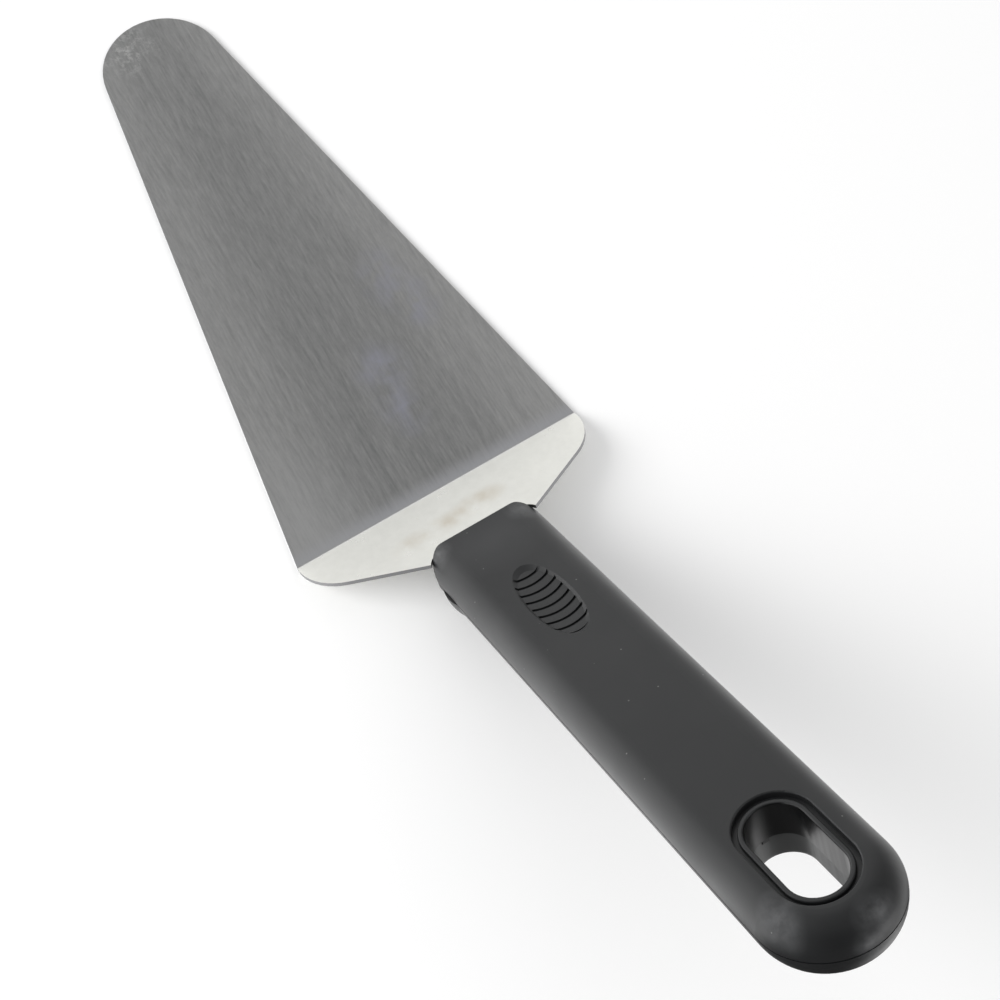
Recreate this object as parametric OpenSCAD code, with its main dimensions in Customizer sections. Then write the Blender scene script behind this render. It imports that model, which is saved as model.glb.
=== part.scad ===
// Cake server: a flat steel blade with a raised, hollow moulded handle.
// Millimetres. The blade lies flat, +X runs from the tip to the handle and +Z is up.
// The origin is the middle of the blade's underside.

/* [Blade] */
// Length of the flat blade, from the tip to the crease
blade_len = 125; // [100:1:150]
// Width of the blade at the crease
blade_w = 63; // [56:1:72]
// Radius of the rounded tip
tip_r = 13; // [9:0.5:17]
// Thickness of the steel sheet
sheet_t = 0.8; // [0.6:0.1:1.4]
// Inside radius of the crease
crease_r = 0.8; // [0.5:0.1:1.5]
// Angle by which the heel and the handle rise from the blade
rise = 35.6; // [25:0.2:42]

/* [Heel and tang] */
// Distance from the crease to the point where a side edge and a back edge would meet
heel_reach = 7.2; // [6:0.2:8]
// Radius that rounds the heel's corners
heel_corner_r = 12; // [11:0.2:14]
// Angle between a back edge and the centre line
heel_sweep = 60; // [57:1:64]
// Width of the sheet where it passes into the handle's front
throat_w = 18; // [16.6:0.2:18.6]
// Width of the tang inside the handle
tang_w = 14; // [10:0.5:16]
// Length of the tang, from the handle's front edge to its round end
tang_len = 80; // [72:1:84]

/* [Handle] */
// Distance from the crease to the handle's front edge
heel_show = 16.9; // [15:0.1:18]
// Length of the handle
handle_len = 118.3; // [112:0.1:130]
// Width of the handle
handle_w = 23.6; // [22:0.2:28]
// Height of the upper shell, with its rounded shoulders
shoulder = 5.1; // [4.8:0.1:6]
// Depth of the lower shell, with its round belly
belly = 7.8; // [7.2:0.1:9.4]
// Wall of both shells
wall = 1.6; // [1.2:0.1:2]
// Radius of the front corners, seen from above
front_r = 4.5; // [3:0.5:6]
// Radius that rounds the top of the front edge
front_round = 0.5; // [0.2:0.1:0.8]
// Height and depth of the reveal, the fine groove at the parting line
reveal = 0.25; // [0.1:0.05:0.4]
// Clearance between pieces that slide into each other
fit = 0.1; // [0.05:0.05:0.2]

/* [Chin] */
// Distance from the front edge to the lowest point of the chin
chin_at = 9; // [6:0.2:10]
// How far the chin hangs below the belly
chin_drop = 0.9; // [0.5:0.1:2]
// How far the chin stands out on each side
chin_side = 0.5; // [0.2:0.1:0.8]

/* [Hang hole] */
// Length of the hang hole
hole_len = 19; // [16:0.2:22]
// Width of the hang hole
hole_w = 9.6; // [8:0.2:10.8]
// How far the hole's rear end lies ahead of a place concentric with the butt
hole_back = 0.7; // [0:0.1:1.5]
// Distance from the hole to the outer wall of the groove round its mouth
rim_step = 1.7; // [1.4:0.1:1.8]
// Depth of that groove below the top of the handle
rim_depth = 1.2; // [1:0.1:1.6]
// Width of the collar between the hole and the groove
collar_w = 0.9; // [0.8:0.1:1]
// How far the collar lies below the top of the handle
collar_drop = 0.5; // [0.4:0.1:0.7]
// Radius that rounds the rim at the top of the handle
rim_round = 0.3; // [0.2:0.1:0.4]
// Radius that rounds the collar's two edges
collar_round = 0.3; // [0.1:0.1:0.4]
// Radius that rounds the hole's lower edge
foot_round = 1.3; // [0.6:0.1:1.4]
// Wall of the tubes that line the hole
tube_wall = 1.4; // [1:0.1:1.8]
// Depth below the parting line at which the two tubes meet
seam_drop = 2.3; // [1.5:0.1:3.5]
// How far the lower tube stands back, seen as a thin step in the hole
seam_step = 0.2; // [0.05:0.05:0.3]
// Width of the tab that keys the two tubes
key_w = 1.2; // [0.8:0.2:2]
// Height of that tab
key_h = 0.7; // [0.4:0.1:1]

/* [Thumb pad] */
// Distance from the front edge to the middle of the pad
pad_at = 29.1; // [24:0.1:34]
// Length of the pad's dish
pad_len = 23; // [18:0.5:28]
// Width of the pad's dish
pad_w = 8.6; // [6.5:0.1:10]
// Depth of the dish at its middle
pad_depth = 0.65; // [0.5:0.05:0.75]
// How much more the dish's floor would spread if its steep walls did not stop it
pad_spread = 1.7; // [1.5:0.1:2]
// Depth to which those walls would run on
pad_wall = 2; // [1.6:0.1:2.4]
// Number of grooves
groove_count = 9; // [5:1:9]
// Distance from groove to groove
groove_pitch = 2.37; // [2:0.01:2.6]
// Width of a groove
groove_w = 0.6; // [0.3:0.05:0.8]
// Depth of a groove below the dish
groove_depth = 0.4; // [0.2:0.05:0.5]
// Radius along which each groove bends
groove_r = 7.5; // [5:0.5:12]
// How far the grooves stop short of the dish's edge
groove_margin = 0.5; // [0.2:0.05:0.8]
// How far the middle groove's bulge lies past the middle of the pad
groove_lead = 1; // [0:0.1:1.4]

/* [Locating features] */
// Radius of the two pegs that hold the tang
peg_r = 1.7; // [1.4:0.1:2.2]
// Distance from the front edge to the first peg
peg_at = 18; // [14:0.5:22]
// Distance between the pegs
peg_pitch = 44; // [36:1:48]
// Thickness of the lip that lines up the shells
lip_t = 0.8; // [0.6:0.1:1]
// Height of that lip
lip_h = 1.5; // [1:0.1:1.7]

/* [Hidden] */
$fn = 96;

// Far enough to clear the whole object in a cut
reach = 2 * (blade_len + handle_len);

// Crease: the middle of the bend, seen from the side, with the fold line at zero
bend_mid = [-crease_r * tan(rise / 2), sheet_t + crease_r];
bend_steps = 8;

// How far the blade's and the heel's outlines run past the fold line to overlap
overlap = 2 * sheet_t;

// Blade: the side edges touch the tip's circle and end at the fold line
tip_x = tip_r - blade_len;
side_angle = atan2(blade_w / 2, -tip_x) - asin(tip_r / norm([tip_x, blade_w / 2]));
side_start = [tip_x - tip_r * sin(side_angle), tip_r * cos(side_angle)];

// Heel: the point where a side edge and a back edge would meet, and a round that starts
// at the fold line and touches the back edge
heel_start = [0, blade_w / 2];
back_along = [cos(heel_sweep), -sin(heel_sweep)];
back_out = [sin(heel_sweep), cos(heel_sweep)];
corner = heel_start + heel_reach * [1, tan(side_angle)];
corner_offset = corner - heel_corner_r * back_out - heel_start;
corner_slide = corner_offset * back_along;
corner_run = sqrt(corner_slide ^ 2 - corner_offset * corner_offset + heel_corner_r ^ 2) - corner_slide;
corner_back = corner + corner_run * back_along;
corner_mid = corner_back - heel_corner_r * back_out;

// Handle, in its own axes: X from the crease to the butt, Z up from the sheet's top
top_z = wall;
split_z = top_z - shoulder;
belly_z = split_z - belly;
front_x = heel_show;
butt_r = handle_w / 2;
butt_x = front_x + handle_len - butt_r;
tang_end = front_x + tang_len - tang_w / 2;
peg_x = [front_x + peg_at, front_x + peg_at + peg_pitch];
boss_r = peg_r + wall;

// Hang hole: the middle of its rear end
hole_rear = butt_x - hole_back;
hole_r = hole_w / 2;
hole_pitch = hole_len - hole_w;
seam_z = split_z - seam_drop;
lower_hole_r = hole_r + seam_step;
key_x = hole_rear - hole_pitch - hole_r;

pad_x = front_x + pad_at;

// The bend seen from the side, at a distance r from its middle
function bend(r) = [
  for (i = [0 : bend_steps]) let (a = i * rise / bend_steps) bend_mid + r * [sin(a), -cos(a)]
];

// A point u along the handle's axis and n above it, seen from the side
function from_handle(u, n) = [u * cos(rise) - n * sin(rise), sheet_t + u * sin(rise) + n * cos(rise)];

// The bent sheet, wider than the blade
module bent_sheet() {
  tip = -blade_len - overlap;
  end = tang_end + tang_w;
  outer = bend(crease_r + sheet_t);
  rotate([90, 0, 0]) linear_extrude(2 * blade_w, center = true)
    polygon(concat(
      [[tip, 0], [tip, sheet_t]],
      bend(crease_r),
      [from_handle(end, 0), from_handle(end, -sheet_t)],
      [for (i = [bend_steps : -1 : 0]) outer[i]]
    ));
}

// The outline of the sheet past the crease, with its back edges and the tang grown by grow;
// beside its throat it stops short of the handle's round corners
module heel_outline(grow) {
  half_tang = tang_w / 2 + grow;
  back = corner_back + grow * back_out;
  neck_x = back.x + (back.y - half_tang) / tan(heel_sweep);
  for (s = [0, 1]) mirror([0, s]) difference() {
    union() {
      polygon([
        [-overlap, 0], heel_start - overlap * [1, 1], heel_start, corner_mid,
        back, [neck_x, half_tang], [neck_x, 0]
      ]);
      intersection() {
        translate(corner_mid) circle(heel_corner_r + grow);
        square([reach, reach]);
      }
    }
    intersection() {
      plan(-fit);
      translate([0, throat_w / 2 + grow]) square(reach);
    }
  }
  translate([0, -half_tang]) square([tang_end, 2 * half_tang]);
  translate([tang_end, 0]) circle(half_tang);
}

// The flat blade's outline, from the tip to just past the fold line
module blade_outline() {
  polygon([
    side_start, heel_start, heel_start + [overlap, 0],
    [overlap, -blade_w / 2], [0, -blade_w / 2], [side_start.x, -side_start.y]
  ]);
  translate([tip_x, 0]) circle(tip_r);
}

// Handle axes: the crease's middle, on top of the sheet, tilted by the rise
module on_handle() {
  translate([blade_len / 2, 0, sheet_t]) rotate([0, -rise, 0]) children();
}

// Cross-section of the handle, moved in by inset
module section(inset) {
  upper_r = shoulder - inset;
  lower_r = belly - inset;
  flat_top = butt_r - shoulder;
  flat_belly = butt_r - belly;
  translate([0, split_z]) {
    translate([-flat_top, 0]) square([2 * flat_top, upper_r]);
    translate([-flat_belly, -lower_r]) square([2 * flat_belly, lower_r]);
    for (s = [-1, 1]) {
      translate([s * flat_top, 0]) circle(upper_r);
      intersection() {
        translate([s * flat_belly, 0]) circle(lower_r);
        translate([-reach, -2 * reach]) square(2 * reach);
      }
    }
  }
}

// Plan of the handle, moved in by inset, with round front corners
module plan(inset) {
  r = front_r - inset;
  half = butt_r - inset;
  start = front_x + inset;
  translate([start, r - half]) square([butt_x - start, 2 * (half - r)]);
  translate([start + r, -half]) square([butt_x - start - r, 2 * half]);
  for (s = [-1, 1]) translate([start + r, s * (half - r)]) circle(r);
  translate([butt_x, 0]) circle(half);
}

// The handle's solid form, moved in by inset
module form(inset) {
  intersection() {
    union() {
      translate([front_x + inset, 0, 0]) rotate([90, 0, 90])
        linear_extrude(butt_x - front_x - inset) section(inset);
      translate([butt_x, 0, 0]) rotate(-90) rotate_extrude(angle = 180) intersection() {
        section(inset);
        translate([0, -reach]) square(2 * reach);
      }
    }
    translate([0, 0, -reach]) linear_extrude(2 * reach) plan(inset);
  }
}

// Everything between two heights
module band(low, high) {
  translate([-reach, -reach, low]) cube([2 * reach, 2 * reach, high - low]);
}

// A straight hole with round ends, from one height to another
module slot(r, low, high) {
  translate([0, 0, low]) linear_extrude(high - low) {
    translate([hole_rear - hole_pitch, -r]) square([hole_pitch, 2 * r]);
    for (x = [hole_rear - hole_pitch, hole_rear]) translate([x, 0]) circle(r);
  }
}

// A hole with round ends whose cross-section, from its middle plane outwards, is the child
module slot_sweep() {
  translate([hole_rear, 0, 0]) rotate(-90) rotate_extrude(angle = 180) children();
  translate([hole_rear - hole_pitch, 0, 0]) {
    rotate(90) rotate_extrude(angle = 180) children();
    rotate([90, 0, 90]) linear_extrude(hole_pitch) for (s = [0, 1]) mirror([s, 0]) children();
  }
}

// What comes off a square edge at the origin when it is rounded by r
module edge_round(r) {
  difference() {
    translate([-r, -r]) square(2 * r);
    translate([r, -r]) circle(r);
  }
}

// What comes off the top of the front edge and its two corners when it is rounded
module front_edge() {
  half = butt_r - front_r;
  translate([front_x, 0, top_z]) rotate([90, 0, 0]) linear_extrude(2 * half, center = true)
    edge_round(front_round);
  for (s = [0, 1]) mirror([0, s, 0]) translate([front_x + front_r, half, 0]) rotate(90)
    rotate_extrude(angle = 90) translate([front_r, top_z]) mirror([1, 0]) edge_round(front_round);
}

// The hole through the upper shell: tube, collar, groove and rounded rim
module mouth() {
  collar_z = top_z - collar_drop;
  collar_r = hole_r + collar_w;
  rim_r = hole_r + rim_step;
  slot_sweep() {
    translate([0, seam_z - 2 * key_h]) square([hole_r, top_z - seam_z + 2 * key_h + wall]);
    translate([0, collar_z]) square([rim_r, collar_drop + wall]);
    translate([collar_r, top_z - rim_depth]) square([rim_r - collar_r, rim_depth + wall]);
    translate([hole_r, collar_z]) edge_round(collar_round);
    translate([collar_r, collar_z]) mirror([1, 0]) edge_round(collar_round);
    translate([rim_r, top_z]) edge_round(rim_round);
  }
}

// The hole through the lower shell: tube and rounded lower edge
module foot() {
  slot_sweep() {
    translate([0, belly_z - wall]) square([lower_hole_r, seam_z - belly_z + 2 * wall]);
    translate([lower_hole_r, belly_z]) mirror([0, 1]) edge_round(foot_round);
  }
}

// A shallow oval bowl under the top of the handle, half_len by half_width and depth deep
module bowl(half_len, half_width, depth) {
  along_r = (half_len ^ 2 + depth ^ 2) / (2 * depth);
  across_r = (half_width ^ 2 + depth ^ 2) / (2 * depth);
  translate([pad_x, 0, top_z - depth + along_r]) rotate([-90, 0, 0]) rotate(45)
    rotate_extrude(angle = 90) translate([along_r - across_r, 0]) circle(across_r);
}

// The thumb pad's dish and its curved grooves
module pad_cut() {
  half_len = pad_len / 2;
  half_w = pad_w / 2;
  intersection() {
    bowl(half_len, half_w, pad_wall);
    bowl(pad_spread * half_len, pad_spread * half_w, pad_depth);
  }
  intersection() {
    bowl(half_len - groove_margin, half_w - groove_margin, 2 * pad_wall);
    translate([0, 0, -groove_depth]) bowl(pad_spread * half_len, pad_spread * half_w, pad_depth);
    for (i = [0 : groove_count - 1]) {
      groove_x = pad_x + groove_lead + (i - (groove_count - 1) / 2) * groove_pitch;
      translate([groove_x - groove_r, 0, 0]) rotate(-60) rotate_extrude(angle = 120)
        translate([groove_r - groove_w / 2, -top_z]) square([groove_w, 3 * top_z]);
    }
  }
}

// The round chin under the front of the handle
module chin() {
  r = belly + chin_drop;
  half = butt_r + chin_side - r;
  translate([front_x + chin_at, 0, split_z]) {
    rotate([90, 0, 0]) cylinder(r = r, h = 2 * half, center = true);
    for (s = [-1, 1]) translate([0, s * half, 0]) sphere(r);
  }
}

// Steel sheet: flat blade, crease, raised heel and the tang with its two peg holes
module blade() {
  depth = 4 * overlap;
  color("silver") difference() {
    intersection() {
      translate([blade_len / 2, 0, 0]) bent_sheet();
      union() {
        translate([blade_len / 2, 0, -depth / 2]) linear_extrude(depth) blade_outline();
        on_handle() translate([0, 0, -depth / 2]) linear_extrude(depth) heel_outline(0);
      }
    }
    on_handle() for (x = peg_x) translate([x, 0, -depth / 2]) cylinder(r = peg_r + fit, h = depth);
  }
}

// Top half of the handle: thumb pad, upper tube of the hang hole, slot for the sheet
module upper_shell() {
  color("#4a4b4c") on_handle() difference() {
    union() {
      intersection() {
        difference() {
          form(0);
          form(wall);
        }
        band(split_z, top_z);
      }
      intersection() {
        form(0);
        slot(hole_r + rim_step + tube_wall, split_z, top_z);
      }
      slot(hole_r + tube_wall, seam_z, split_z + wall);
      translate([key_x - tube_wall, -key_w / 2, seam_z - key_h]) cube([tube_wall, key_w, 2 * key_h]);
    }
    mouth();
    translate([0, 0, -sheet_t - fit]) linear_extrude(sheet_t + 1.5 * fit) heel_outline(fit);
    pad_cut();
    front_edge();
  }
}

// Bottom half of the handle: belly, chin, lip, lower tube of the hang hole, bosses and pegs
module lower_shell() {
  rim = wall + fit + lip_t;
  boss_z = belly_z + wall / 2;
  color("#3c3d3e") on_handle() difference() {
    union() {
      intersection() {
        difference() {
          form(0);
          form(wall);
        }
        band(belly_z, split_z);
      }
      intersection() {
        difference() {
          form(0);
          form(rim);
        }
        band(split_z - wall, split_z);
      }
      intersection() {
        difference() {
          form(wall + fit);
          form(rim);
        }
        band(split_z - wall, split_z + lip_h);
      }
      intersection() {
        difference() {
          chin();
          form(wall);
        }
        translate([0, 0, -reach]) linear_extrude(reach + split_z - reveal) intersection() {
          plan(-chin_side);
          translate([front_x, -reach]) square(2 * reach);
        }
      }
      intersection() {
        form(0);
        slot(lower_hole_r + tube_wall, belly_z, seam_z);
      }
      for (x = peg_x) translate([x, 0, 0]) {
        translate([0, 0, boss_z]) cylinder(r = boss_r, h = -sheet_t - fit / 2 - boss_z);
        translate([0, 0, boss_z]) cylinder(r = peg_r, h = -fit - boss_z);
      }
    }
    foot();
    difference() {
      band(split_z - reveal, split_z);
      translate([0, 0, -reach]) linear_extrude(2 * reach) plan(reveal);
    }
    translate([key_x - tube_wall - fit, -key_w / 2 - fit, seam_z - key_h - fit])
      cube([2 * tube_wall, key_w + 2 * fit, 2 * key_h]);
  }
}

blade();
upper_shell();
lower_shell();
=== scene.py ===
"""Looks of a cake server: one brushed steel sheet and a black moulded handle of two shells."""

import math

import bpy
from mathutils import Euler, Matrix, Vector

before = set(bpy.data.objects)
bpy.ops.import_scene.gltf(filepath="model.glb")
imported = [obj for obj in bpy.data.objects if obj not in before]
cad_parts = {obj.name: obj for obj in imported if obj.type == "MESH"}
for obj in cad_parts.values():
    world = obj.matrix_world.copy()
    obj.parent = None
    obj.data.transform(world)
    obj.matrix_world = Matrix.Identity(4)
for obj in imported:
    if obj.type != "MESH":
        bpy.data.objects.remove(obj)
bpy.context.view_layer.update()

MM = 0.001

# Sizes of the part that the finishes follow, in millimetres and degrees, as in its source
BLADE_LEN = 125.0
BLADE_HALF = 31.5
SIDE_SLOPE = 0.1636
SHEET_T = 0.8
CREASE = BLADE_LEN / 2
RISE = 35.6
HOLE_MIDDLE = 118.0
HOLE_PITCH = 9.4
UPPER_TUBE_R = 4.8
LOWER_TUBE_R = 5.0

# Brush lines: length and width in millimetres, and their share of the grain. The real lines are finer
# than the picture can show, so the narrowest are drawn 0.5 mm wide.
BRUSH_LINES = ((3.5, 0.5, 0.42), (16, 0.9, 0.3), (70, 6, 0.14), (0.9, 0.5, 0.14))
# Angle between the brush lines and the blade's middle line
BRUSH_TURN = math.radians(-2.1)

# Oval marks, each with its middle and half sizes in millimetres.
# Soft bluish smudges on the blade
BLADE_SMUDGES = (
    ((17.8, 14.8), (9, 6.5, 4)),
    ((25, 17.4), (8, 5.5, 4)),
    ((34.7, 3.6), (8, 7, 4)),
    ((43.4, 2.8), (8, 6, 4)),
)
# Painted sheen: a paler place beside one end of the crease
PAINTED_END_SHEEN = ((58, -26), (24, 14, 4))
# Scuffs on the tip of the blade
TIP_SCUFF = ((-58, -5), (9, 9, 4))
# Brown stains on the heel, in the handle's axes
HEEL_STAINS = (
    ((9.2, 4.8), (3.5, 6, 3.5)),
    ((10.1, 0.1), (3.2, 4, 3.2)),
    ((10.5, -3.9), (3.5, 5, 3.5)),
    ((11.2, -9.8), (3.5, 7, 3.5)),
)
# Rubbed places on the handle, in its axes: at the front and round the butt; round the butt their lighter
# colour is also a painted highlight
HANDLE_RUBS_AND_SHEEN = (
    ((20, 8.5, 1), (6, 3.6, 3)),
    ((19, -9, 0.5), (5, 3, 3)),
    ((126, -8.8, 0.8), (6, 4, 3.5)),
    ((133.4, 2.4, 0.3), (3.4, 4.4, 3.2)),
    ((135, -0.8, -2.6), (2.8, 2.8, 2.8)),
)
# Painted sheen on the front of the handle: its colour drawn lighter grey there
FRONT_SHEEN = ((22, 0, 3), (18, 13, 7))
# A bright spot on the floor beside the butt, for reflections alone
FLOOR_SPOT = ((238, 42, 0), (42, 42, 42))

# Light in reflections, where white paper in plain light is 1: the floor on the key light's side and what
# is added on the other side, the gain of the spot, the share taken off past the butt, the wall, the
# ceiling, and the shares left on the far side and in the dark corner
NEAR_FLOOR = 2.7
FAR_FLOOR = 0.6
SPOT_GAIN = 2.5
PAST_BUTT = 0.95
WALL_LIGHT = 1.85
CEILING_LIGHT = 0.385
FAR_SHARE = 0.35
CORNER_SHARE = 0.1
# Light that falls on matt surfaces from all around
EVEN_LIGHT = 0.93
# Direction of the dark corner, and light panels with their direction, the cosines of the angles where each
# starts and is full, and its strength
DARK_CORNER = Vector((0.74, -0.37, 0.56))
PANELS = (
    (Vector((-0.70, -0.53, 0.48)), 0.955, 0.99, 1.8),
    (Vector((0.89, 0.453, 0.05)), 0.9, 0.98, 2.6),
    (Vector((0.30, 0.58, 0.76)), 0.92, 0.98, 1.5),
)

# Key light: place, aim and size in metres, and power in watts
KEY_PLACE = Vector((-0.35, -0.95, 0.75))
KEY_AIM = Vector((0.06, 0, 0.02))
KEY_SIZE = (0.9, 0.7)
KEY_POWER = 10.0
FLOOR_WIDTH = 6.0

# Camera: place in millimetres, turn in degrees, and lens length over picture width
CAMERA_PLACE = Vector((164.318, -66.249, 313.277))
CAMERA_TURN = (20.8876, -2.5502, 57.8774)
LENS_RATIO = 1.721
SENSOR_WIDTH = 36.0


def srgb(hex_colour):
    """Linear RGBA of an sRGB hex colour."""
    channels = [int(hex_colour[i:i + 2], 16) / 255 for i in (1, 3, 5)]
    linear = [c / 12.92 if c <= 0.04045 else ((c + 0.055) / 1.055) ** 2.4 for c in channels]
    return (*linear, 1.0)


def on_blade(x, y):
    """The place of a point on the blade's top, in metres."""
    return Vector((x, y, SHEET_T)) * MM


def on_handle(u, v, n=0.0):
    """The place of a point in the handle's axes: along it, across it and above the sheet, in metres."""
    rise = math.radians(RISE)
    x = CREASE + u * math.cos(rise) - n * math.sin(rise)
    z = SHEET_T + u * math.sin(rise) + n * math.cos(rise)
    return Vector((x, v, z)) * MM


def add(tree, kind, inputs=(), output=None, **settings):
    """An output of a new node, the named one or the first. Inputs are values, or outputs to link."""
    node = tree.nodes.new(kind)
    for name, value in settings.items():
        setattr(node, name, value)
    shown = [socket for socket in node.inputs if socket.enabled]
    for key, value in inputs.items() if isinstance(inputs, dict) else enumerate(inputs):
        socket = shown[key] if isinstance(key, int) else next(s for s in shown if s.name == key)
        if isinstance(value, bpy.types.NodeSocket):
            tree.links.new(value, socket)
        else:
            socket.default_value = value
    results = [socket for socket in node.outputs if socket.enabled]
    if output:
        return node.outputs[output]
    return results[0] if results else None


def empty_material(name):
    """A new material without nodes, and its tree."""
    material = bpy.data.materials.new(name)
    material.use_nodes = True
    material.node_tree.nodes.clear()
    return material, material.node_tree


def rubbed(tree, place, marks):
    """1 at the middle of each oval mark, falling to 0 at its edge. Marks hold places in metres and half
    sizes in millimetres."""
    together = 0.0
    for middle, half in marks:
        local = add(tree, "ShaderNodeMapping", {
            "Vector": place, "Location": middle, "Scale": Vector(half) * MM}, vector_type="TEXTURE")
        mark = add(tree, "ShaderNodeTexGradient", [local], "Fac", gradient_type="SPHERICAL")
        together = add(tree, "ShaderNodeMath", [mark, together], operation="MAXIMUM")
    return together


def brushed_stainless():
    """Stainless sheet: the blade belt-brushed along its length, so its grey breaks into short fine lines;
    the heel left smooth and bright; bluish smudges; a painted reflection as a pale band along the crease;
    brown stains on the heel."""
    material, tree = empty_material("brushed_stainless_sheet")
    place = add(tree, "ShaderNodeTexCoord", output="Object")
    axes = add(tree, "ShaderNodeSeparateXYZ", [place]).node.outputs
    heel = add(tree, "ShaderNodeMapRange", {
        "Value": axes["X"], "From Min": (CREASE - 0.4) * MM, "From Max": (CREASE + 0.3) * MM})
    grain = 0.0
    for row, (length, width, share) in enumerate(BRUSH_LINES):
        stretched = add(tree, "ShaderNodeMapping", {
            "Vector": place, "Location": (0, row * 100 * MM, 0), "Rotation": (0, 0, BRUSH_TURN),
            "Scale": Vector((length, width, length)) * MM}, vector_type="TEXTURE")
        lines = add(tree, "ShaderNodeTexNoise", {
            "Vector": stretched, "Scale": 1.0, "Detail": 3.0, "Roughness": 0.6})
        grain = add(tree, "ShaderNodeMath", [lines, share, grain], operation="MULTIPLY_ADD")
    # Darker along the middle of the blade than beside its edges
    to_edge = add(tree, "ShaderNodeMath", [
        axes["X"], SIDE_SLOPE, (BLADE_HALF - SIDE_SLOPE * CREASE) * MM], operation="MULTIPLY_ADD")
    aside = add(tree, "ShaderNodeMath", [axes["Y"]], operation="ABSOLUTE")
    across = add(tree, "ShaderNodeMath", [aside, to_edge], operation="DIVIDE")
    edge = add(tree, "ShaderNodeMapRange", {
        "Value": across, "From Min": 0.2, "To Min": -0.04, "To Max": 0.17},
        interpolation_type="SMOOTHSTEP")
    wider = add(tree, "ShaderNodeMapRange", {
        "Value": axes["X"], "From Min": -CREASE * MM, "From Max": CREASE * MM,
        "To Min": 0.5, "To Max": 1.2})
    grain = add(tree, "ShaderNodeMath", [edge, wider, grain], operation="MULTIPLY_ADD")
    tone = add(tree, "ShaderNodeMapRange", {"Value": grain, "From Min": 0.3, "From Max": 0.74})
    colour = add(tree, "ShaderNodeMix", {
        "Factor": tone, "A": srgb("#a8a9a9"), "B": srgb("#dededd")}, data_type="RGBA")
    # Bluish smudges broken by clouds 6 mm wide, and a painted reflection of the bend: a pale bluish band
    # along the crease
    cloud = add(tree, "ShaderNodeTexNoise", {
        "Vector": place, "Scale": 1 / (6 * MM), "Detail": 4.0, "Roughness": 0.55})
    crease_reflection = add(tree, "ShaderNodeMapRange", {
        "Value": axes["X"], "From Min": (CREASE - 4.2) * MM, "From Max": (CREASE + 0.2) * MM},
        interpolation_type="SMOOTHSTEP")
    smudges = rubbed(tree, place, [(on_blade(*middle), half) for middle, half in BLADE_SMUDGES])
    broken = add(tree, "ShaderNodeMapRange", {
        "Value": cloud, "From Min": 0.35, "From Max": 0.65, "To Max": 1.1})
    smudges = add(tree, "ShaderNodeMath", [smudges, broken], operation="MULTIPLY", use_clamp=True)
    colour = add(tree, "ShaderNodeMix", {
        "Factor": smudges, "A": colour, "B": srgb("#d3d4e2")}, data_type="RGBA")
    # Painted reflection of the bend: a pale bluish band along the crease
    crease_reflection = add(tree, "ShaderNodeMath", [crease_reflection, 0.85], operation="MULTIPLY")
    colour = add(tree, "ShaderNodeMix", {
        "Factor": crease_reflection, "A": colour, "B": srgb("#e9eaef")}, data_type="RGBA")
    # Painted sheen: paler steel beside one end of the crease
    middle, half = PAINTED_END_SHEEN
    painted_end_sheen = rubbed(tree, place, [(on_blade(*middle), half)])
    painted_end_sheen = add(tree, "ShaderNodeMath", [painted_end_sheen, 0.4], operation="MULTIPLY")
    colour = add(tree, "ShaderNodeMix", {
        "Factor": painted_end_sheen, "A": colour, "B": srgb("#eceded")}, data_type="RGBA")
    # Pale scuffs at the tip, about 1.5 mm across
    middle, half = TIP_SCUFF
    scuff = rubbed(tree, place, [(on_blade(*middle), half)])
    specks = add(tree, "ShaderNodeTexNoise", {
        "Vector": place, "Scale": 1 / (1.5 * MM), "Detail": 4.0, "Roughness": 0.7})
    specks = add(tree, "ShaderNodeMapRange", {"Value": specks, "From Min": 0.5, "From Max": 0.64})
    scuff = add(tree, "ShaderNodeMath", [scuff, specks], operation="MULTIPLY")
    colour = add(tree, "ShaderNodeMix", {
        "Factor": scuff, "A": colour, "B": srgb("#f0f0ef")}, data_type="RGBA")
    # Smooth heel, faintly mottled in patches about 2 mm wide, with soft brown stains
    mottle = add(tree, "ShaderNodeTexNoise", {
        "Vector": place, "Scale": 1 / (2 * MM), "Detail": 4.0, "Roughness": 0.65})
    mottle = add(tree, "ShaderNodeMapRange", {"Value": mottle, "From Min": 0.35, "From Max": 0.65})
    smooth = add(tree, "ShaderNodeMix", {
        "Factor": mottle, "A": srgb("#d0d0cb"), "B": srgb("#d4d4cf")}, data_type="RGBA")
    stain = rubbed(tree, place, [(on_handle(*middle), half) for middle, half in HEEL_STAINS])
    stain = add(tree, "ShaderNodeMath", [stain, broken], operation="MULTIPLY", use_clamp=True)
    smooth = add(tree, "ShaderNodeMix", {
        "Factor": stain, "A": smooth, "B": srgb("#c2bcb0")}, data_type="RGBA")
    colour = add(tree, "ShaderNodeMix", {"Factor": heel, "A": colour, "B": smooth}, data_type="RGBA")
    matt = add(tree, "ShaderNodeMapRange", {"Value": tone, "To Min": 0.41, "To Max": 0.35})
    satin = add(tree, "ShaderNodeMapRange", {"Value": cloud, "To Min": 0.24, "To Max": 0.34})
    rough = add(tree, "ShaderNodeMix", {"Factor": heel, "A": matt, "B": satin}, data_type="FLOAT")
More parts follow.
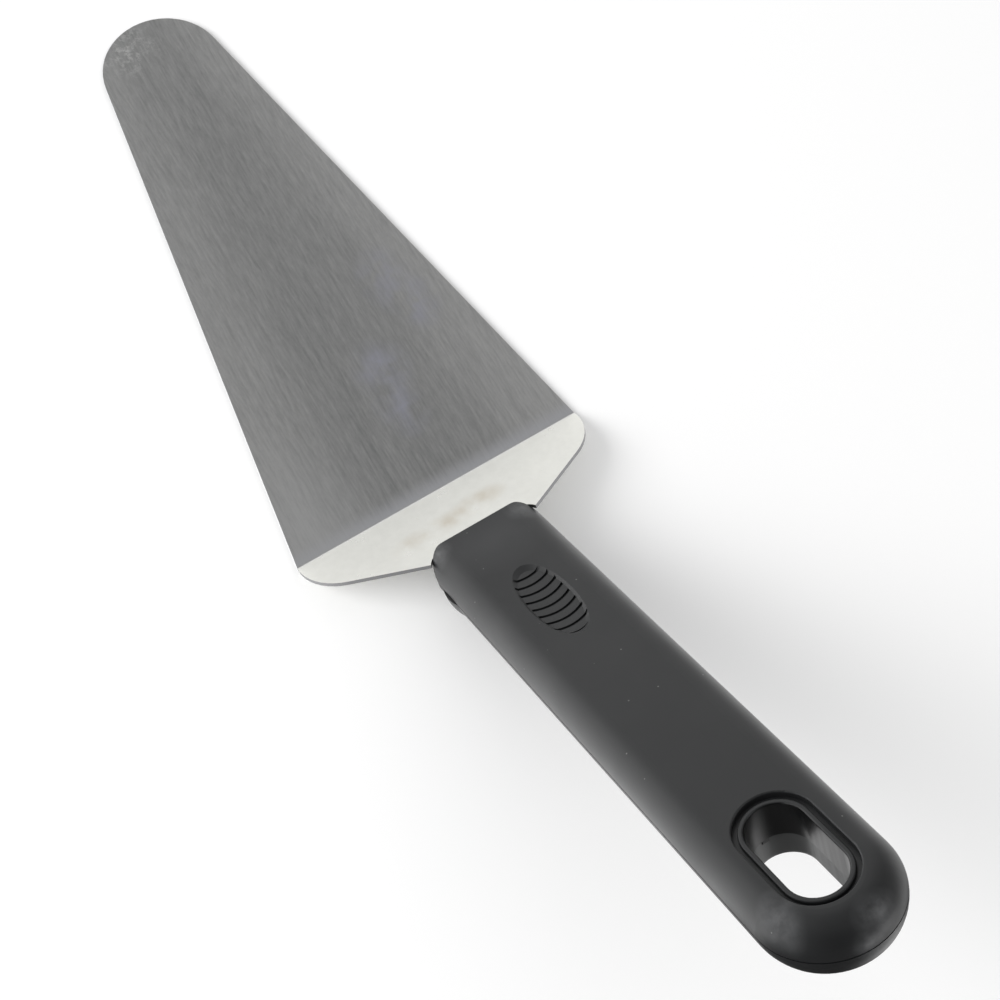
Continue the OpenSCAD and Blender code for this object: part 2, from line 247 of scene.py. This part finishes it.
    # Cut edges: the faces that stand across the sheet, sheared and dull, their darker grey partly painted
    # shadow along the sheet's edge
    normal = add(tree, "ShaderNodeNewGeometry", output="True Normal")
    up = Vector((0, 0, 1))
    off_heel = (on_handle(0, 0, 1) - on_handle(0, 0)).normalized()
    flat = add(tree, "ShaderNodeVectorMath", [normal, up], operation="DOT_PRODUCT")
    raised = add(tree, "ShaderNodeVectorMath", [normal, off_heel], operation="DOT_PRODUCT")
    face = add(tree, "ShaderNodeMix", {"Factor": heel, "A": flat, "B": raised}, data_type="FLOAT")
    face = add(tree, "ShaderNodeMath", [face], operation="ABSOLUTE")
    cut_edge_and_shadow = add(tree, "ShaderNodeMapRange", {"Value": face, "From Min": 0.6, "From Max": 0.4})
    # Darker grey on the cut edges, partly painted shadow
    colour = add(tree, "ShaderNodeMix", {
        "Factor": cut_edge_and_shadow, "A": colour, "B": srgb("#868687")}, data_type="RGBA")
    rough = add(tree, "ShaderNodeMix", {"Factor": cut_edge_and_shadow, "A": rough, "B": 0.55}, data_type="FLOAT")
    depth = add(tree, "ShaderNodeMapRange", {"Value": heel, "To Min": 1.0, "To Max": 0.0})
    height = add(tree, "ShaderNodeMath", [grain, depth], operation="MULTIPLY")
    bump = add(tree, "ShaderNodeBump", {"Height": height, "Strength": 0.2, "Distance": 0.02 * MM})
    shader = add(tree, "ShaderNodeBsdfPrincipled", {
        "Base Color": colour, "Metallic": 1.0, "Roughness": rough, "Normal": bump})
    add(tree, "ShaderNodeOutputMaterial", {"Surface": shader})
    return material


def moulded_polypropylene(name, tube_r, tube_colour_and_light, tube_rough):
    """Black polypropylene from a spark-eroded mould: near-black with a wide soft sheen and fine matt grit,
    lighter where hands and hooks rubbed it, with a painted highlight in that lighter grey round the butt
    and a painted sheen on its front, dusty, and with another polish in the hang hole's tube, whose lighter
    grey in the lower shell is partly painted light from the floor below."""
    material, tree = empty_material(name)
    place = add(tree, "ShaderNodeTexCoord", output="Object")
    # Grit of the mould, drawn coarser than the real 0.1 mm so that it shows
    grit = add(tree, "ShaderNodeTexNoise", {
        "Vector": place, "Scale": 1 / (0.3 * MM), "Detail": 2.0, "Roughness": 0.6})
    cloud = add(tree, "ShaderNodeTexNoise", {
        "Vector": place, "Scale": 1 / (11 * MM), "Detail": 4.0, "Roughness": 0.6})
    # Specks of dust, up to 0.3 mm across, in loose groups
    dust = add(tree, "ShaderNodeTexVoronoi", {"Vector": place, "Scale": 1 / (2.4 * MM)})
    speck = add(tree, "ShaderNodeMapRange", {
        "Value": dust, "From Min": 0.07, "From Max": 0.04, "To Min": 0.0, "To Max": 0.4})
    chance = add(tree, "ShaderNodeSeparateColor", [dust.node.outputs["Color"]])
    chosen = add(tree, "ShaderNodeMath", [chance, 0.55], operation="GREATER_THAN")
    speck = add(tree, "ShaderNodeMath", [speck, chosen], operation="MULTIPLY")
    # Rubbed places, mottled in patches about 2 mm wide; round the butt their lighter colour is a painted
    # highlight
    mottle = add(tree, "ShaderNodeTexNoise", {
        "Vector": place, "Scale": 1 / (2.2 * MM), "Detail": 4.0, "Roughness": 0.6})
    mottle = add(tree, "ShaderNodeMapRange", {"Value": mottle, "From Min": 0.2, "From Max": 0.7})
    worn_and_sheen = rubbed(tree, place, [(on_handle(*middle), half) for middle, half in HANDLE_RUBS_AND_SHEEN])
    worn_and_sheen = add(tree, "ShaderNodeMath", [worn_and_sheen, mottle], operation="MULTIPLY")
    # The tube's wall: all that is nearer to the hole's middle line than its radius
    local = add(tree, "ShaderNodeMapping", {
        "Vector": place, "Location": on_handle(HOLE_MIDDLE, 0),
        "Rotation": (0, -math.radians(RISE), 0)}, vector_type="TEXTURE")
    axes = add(tree, "ShaderNodeSeparateXYZ", [local]).node.outputs
    along = add(tree, "ShaderNodeMath", [axes["X"]], operation="ABSOLUTE")
    along = add(tree, "ShaderNodeMath", [along, HOLE_PITCH / 2 * MM], operation="SUBTRACT")
    along = add(tree, "ShaderNodeMath", [along, 0.0], operation="MAXIMUM")
    out = add(tree, "ShaderNodeCombineXYZ", [along, axes["Y"]])
    radius = add(tree, "ShaderNodeVectorMath", [out], operation="LENGTH")
    wall = add(tree, "ShaderNodeMapRange", {
        "Value": radius, "From Min": (tube_r + 0.15) * MM, "From Max": (tube_r + 0.05) * MM})
    # Draw marks down the wall, about 0.9 mm wide
    drawn = add(tree, "ShaderNodeMapping", {
        "Vector": local, "Scale": Vector((0.9, 0.9, 30)) * MM}, vector_type="TEXTURE")
    drawn = add(tree, "ShaderNodeTexNoise", {"Vector": drawn, "Scale": 1.0, "Detail": 2.0})
    colour = add(tree, "ShaderNodeMix", {
        "Factor": cloud, "A": srgb("#151617"), "B": srgb("#1d1e1f")}, data_type="RGBA")
    # Painted sheen: the front of the handle drawn lighter grey
    middle, half = FRONT_SHEEN
    front_sheen = rubbed(tree, place, [(on_handle(*middle), half)])
    front_sheen = add(tree, "ShaderNodeMath", [front_sheen, 0.13], operation="MULTIPLY")
    # Lighter grey where rubbed, a painted highlight round the butt, and painted sheen on the front
    faded_and_sheen = add(tree, "ShaderNodeMath", [worn_and_sheen, 0.5, front_sheen], operation="MULTIPLY_ADD")
    colour = add(tree, "ShaderNodeMix", {
        "Factor": faded_and_sheen, "A": colour, "B": srgb("#68696b")}, data_type="RGBA")
    colour = add(tree, "ShaderNodeMix", {
        "Factor": speck, "A": colour, "B": srgb("#8c8c8a")}, data_type="RGBA")
    # The tube's wall in its own colour; in the lower shell its lighter grey is partly painted light from
    # the floor below
    colour = add(tree, "ShaderNodeMix", {
        "Factor": wall, "A": colour, "B": srgb(tube_colour_and_light)}, data_type="RGBA")
    matt = add(tree, "ShaderNodeMapRange", {
        "Value": cloud, "From Min": 0.3, "From Max": 0.7, "To Min": 0.42, "To Max": 0.5})
    matt = add(tree, "ShaderNodeMath", [worn_and_sheen, -0.2, matt], operation="MULTIPLY_ADD")
    polish = add(tree, "ShaderNodeMapRange", {
        "Value": drawn, "From Min": 0.3, "From Max": 0.7,
        "To Min": tube_rough - 0.03, "To Max": tube_rough + 0.03})
    rough = add(tree, "ShaderNodeMix", {"Factor": wall, "A": matt, "B": polish}, data_type="FLOAT")
    depth = add(tree, "ShaderNodeMapRange", {"Value": wall, "To Min": 1.0, "To Max": 0.0})
    height = add(tree, "ShaderNodeMath", [grit, depth], operation="MULTIPLY")
    bump = add(tree, "ShaderNodeBump", {"Height": height, "Strength": 0.25, "Distance": 0.03 * MM})
    shader = add(tree, "ShaderNodeBsdfPrincipled", {
        "Base Color": colour, "Roughness": rough, "IOR": 1.49, "Normal": bump})
    add(tree, "ShaderNodeOutputMaterial", {"Surface": shader})
    return material


finishes = {
    "blade": brushed_stainless(),
    "upper_shell": moulded_polypropylene(
        "moulded_black_polypropylene", UPPER_TUBE_R, tube_colour_and_light="#0d0d0e", tube_rough=0.32),
    # Lower shell: a matt tube whose lighter grey is partly painted light from the floor below
    "lower_shell": moulded_polypropylene(
        "moulded_black_polypropylene_matt_tube_painted_light", LOWER_TUBE_R, tube_colour_and_light="#4c4d4d", tube_rough=0.45),
}
for name, material in finishes.items():
    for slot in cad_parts[name].material_slots:
        slot.material = material


def paper_floor():
    """Matt white paper, wide enough to fill the view. In reflections it is brighter to both sides of the
    part than under it, most on the side of the key light, and dark past the butt."""
    bpy.ops.mesh.primitive_plane_add(size=FLOOR_WIDTH, location=(0.1, 0, -0.2 * MM))
    floor = bpy.context.object
    floor.name = "floor"
    material, tree = empty_material("white_paper")
    place = add(tree, "ShaderNodeNewGeometry", output="Position")
    axes = add(tree, "ShaderNodeSeparateXYZ", [place]).node.outputs
    near = add(tree, "ShaderNodeMapRange", {
        "Value": axes["Y"], "From Min": -2 * MM, "From Max": -60 * MM, "To Min": 1.0, "To Max": NEAR_FLOOR},
        interpolation_type="SMOOTHSTEP")
    far = add(tree, "ShaderNodeMapRange", {
        "Value": axes["Y"], "From Min": 5 * MM, "From Max": 40 * MM, "To Min": 0.0, "To Max": FAR_FLOOR},
        interpolation_type="SMOOTHSTEP")
    beside = add(tree, "ShaderNodeMapRange", {
        "Value": axes["X"], "From Min": 20 * MM, "From Max": 70 * MM}, interpolation_type="SMOOTHSTEP")
    bright = add(tree, "ShaderNodeMath", [far, beside, near], operation="MULTIPLY_ADD")
    # Dark past the butt, from nearer on the key light's side, but for a spot beside it and the far side
    nearer = add(tree, "ShaderNodeMapRange", {
        "Value": axes["Y"], "From Min": -16 * MM, "From Max": -24 * MM, "To Max": 22 * MM})
    reach = add(tree, "ShaderNodeMath", [axes["X"], nearer], operation="ADD")
    past = add(tree, "ShaderNodeMapRange", {
        "Value": reach, "From Min": 165 * MM, "From Max": 195 * MM, "To Min": 0.0, "To Max": -PAST_BUTT},
        interpolation_type="SMOOTHSTEP")
    side = add(tree, "ShaderNodeMapRange", {
        "Value": axes["Y"], "From Min": 85 * MM, "From Max": 115 * MM}, interpolation_type="SMOOTHSTEP")
    middle, half = FLOOR_SPOT
    spot = rubbed(tree, place, [(Vector(middle) * MM, half)])
    spot = add(tree, "ShaderNodeMath", [spot, SPOT_GAIN], operation="MULTIPLY")
    lit = add(tree, "ShaderNodeMath", [side, spot], operation="MAXIMUM")
    unlit = add(tree, "ShaderNodeMath", [1.0, lit], operation="SUBTRACT")
    shade = add(tree, "ShaderNodeMath", [past, unlit, 1.0], operation="MULTIPLY_ADD")
    bright = add(tree, "ShaderNodeMath", [bright, shade], operation="MULTIPLY")
    mirrored = add(tree, "ShaderNodeEmission", {"Strength": bright})
    paper = add(tree, "ShaderNodeBsdfDiffuse", {"Color": srgb("#fdfdfd")})
    ray = add(tree, "ShaderNodeLightPath").node.outputs
    gloss = add(tree, "ShaderNodeMath", [
        ray["Is Glossy Ray"], ray["Is Transmission Ray"]], operation="MAXIMUM")
    shader = add(tree, "ShaderNodeMixShader", [gloss, paper, mirrored])
    add(tree, "ShaderNodeOutputMaterial", {"Surface": shader})
    floor.data.materials.append(material)


def studio_world():
    """Even room light, white to the camera. In reflections a white wall under a grey ceiling, dark past
    the butt, with soft light panels."""
    world = bpy.data.worlds.new("studio")
    bpy.context.scene.world = world
    world.use_nodes = True
    tree = world.node_tree
    tree.nodes.clear()
    toward = add(tree, "ShaderNodeTexCoord", output="Generated")
    axes = add(tree, "ShaderNodeSeparateXYZ", [toward]).node.outputs
    room = add(tree, "ShaderNodeMapRange", {
        "Value": axes["Z"], "From Min": 0.0, "From Max": 0.8,
        "To Min": WALL_LIGHT, "To Max": CEILING_LIGHT},
        interpolation_type="SMOOTHSTEP")
    # A dark corner past the butt and above it, and dim on the far side
    corner = add(tree, "ShaderNodeVectorMath", [toward, DARK_CORNER], operation="DOT_PRODUCT")
    corner = add(tree, "ShaderNodeMapRange", {
        "Value": corner, "From Min": 0.45, "From Max": 0.85, "To Min": 1.0, "To Max": CORNER_SHARE},
        interpolation_type="SMOOTHSTEP")
    far = add(tree, "ShaderNodeMapRange", {
        "Value": axes["Y"], "From Min": 0.45, "From Max": 0.9, "To Min": 1.0, "To Max": FAR_SHARE},
        interpolation_type="SMOOTHSTEP")
    room = add(tree, "ShaderNodeMath", [room, corner], operation="MULTIPLY")
    room = add(tree, "ShaderNodeMath", [room, far], operation="MULTIPLY")
    for panel, outer, inner, strength in PANELS:
        facing = add(tree, "ShaderNodeVectorMath", [toward, panel], operation="DOT_PRODUCT")
        glow = add(tree, "ShaderNodeMapRange", {
            "Value": facing, "From Min": outer, "From Max": inner, "To Max": strength},
            interpolation_type="SMOOTHSTEP")
        room = add(tree, "ShaderNodeMath", [room, glow], operation="ADD")
    ray = add(tree, "ShaderNodeLightPath").node.outputs
    gloss = add(tree, "ShaderNodeMath", [
        ray["Is Glossy Ray"], ray["Is Transmission Ray"]], operation="MAXIMUM")
    lit = add(tree, "ShaderNodeMix", {"Factor": gloss, "A": EVEN_LIGHT, "B": room}, data_type="FLOAT")
    seen = add(tree, "ShaderNodeMix", {
        "Factor": ray["Is Camera Ray"], "A": lit, "B": 1.0}, data_type="FLOAT")
    shader = add(tree, "ShaderNodeBackground", {"Strength": seen})
    add(tree, "ShaderNodeOutputWorld", {"Surface": shader})


def key_softbox():
    """A wide soft light from beside the blade, low enough to leave a soft shadow."""
    data = bpy.data.lights.new("key_softbox", "AREA")
    data.shape = "RECTANGLE"
    data.size, data.size_y = KEY_SIZE
    data.energy = KEY_POWER
    lamp = bpy.data.objects.new("key_softbox", data)
    lamp.location = KEY_PLACE
    lamp.visible_glossy = False
    lamp.rotation_euler = (KEY_AIM - KEY_PLACE).to_track_quat("-Z", "Y").to_euler()
    bpy.context.scene.collection.objects.link(lamp)


def camera():
    """The photo's camera: its place, turn and lens."""
    data = bpy.data.cameras.new("camera")
    data.sensor_width = SENSOR_WIDTH
    data.lens = LENS_RATIO * SENSOR_WIDTH
    data.clip_start = 0.01
    eye = bpy.data.objects.new("camera", data)
    eye.location = CAMERA_PLACE * MM
    eye.rotation_euler = Euler([math.radians(angle) for angle in CAMERA_TURN])
    bpy.context.scene.collection.objects.link(eye)
    bpy.context.scene.camera = eye


paper_floor()
studio_world()
key_softbox()
camera()
bpy.context.scene.view_settings.view_transform = "Standard"
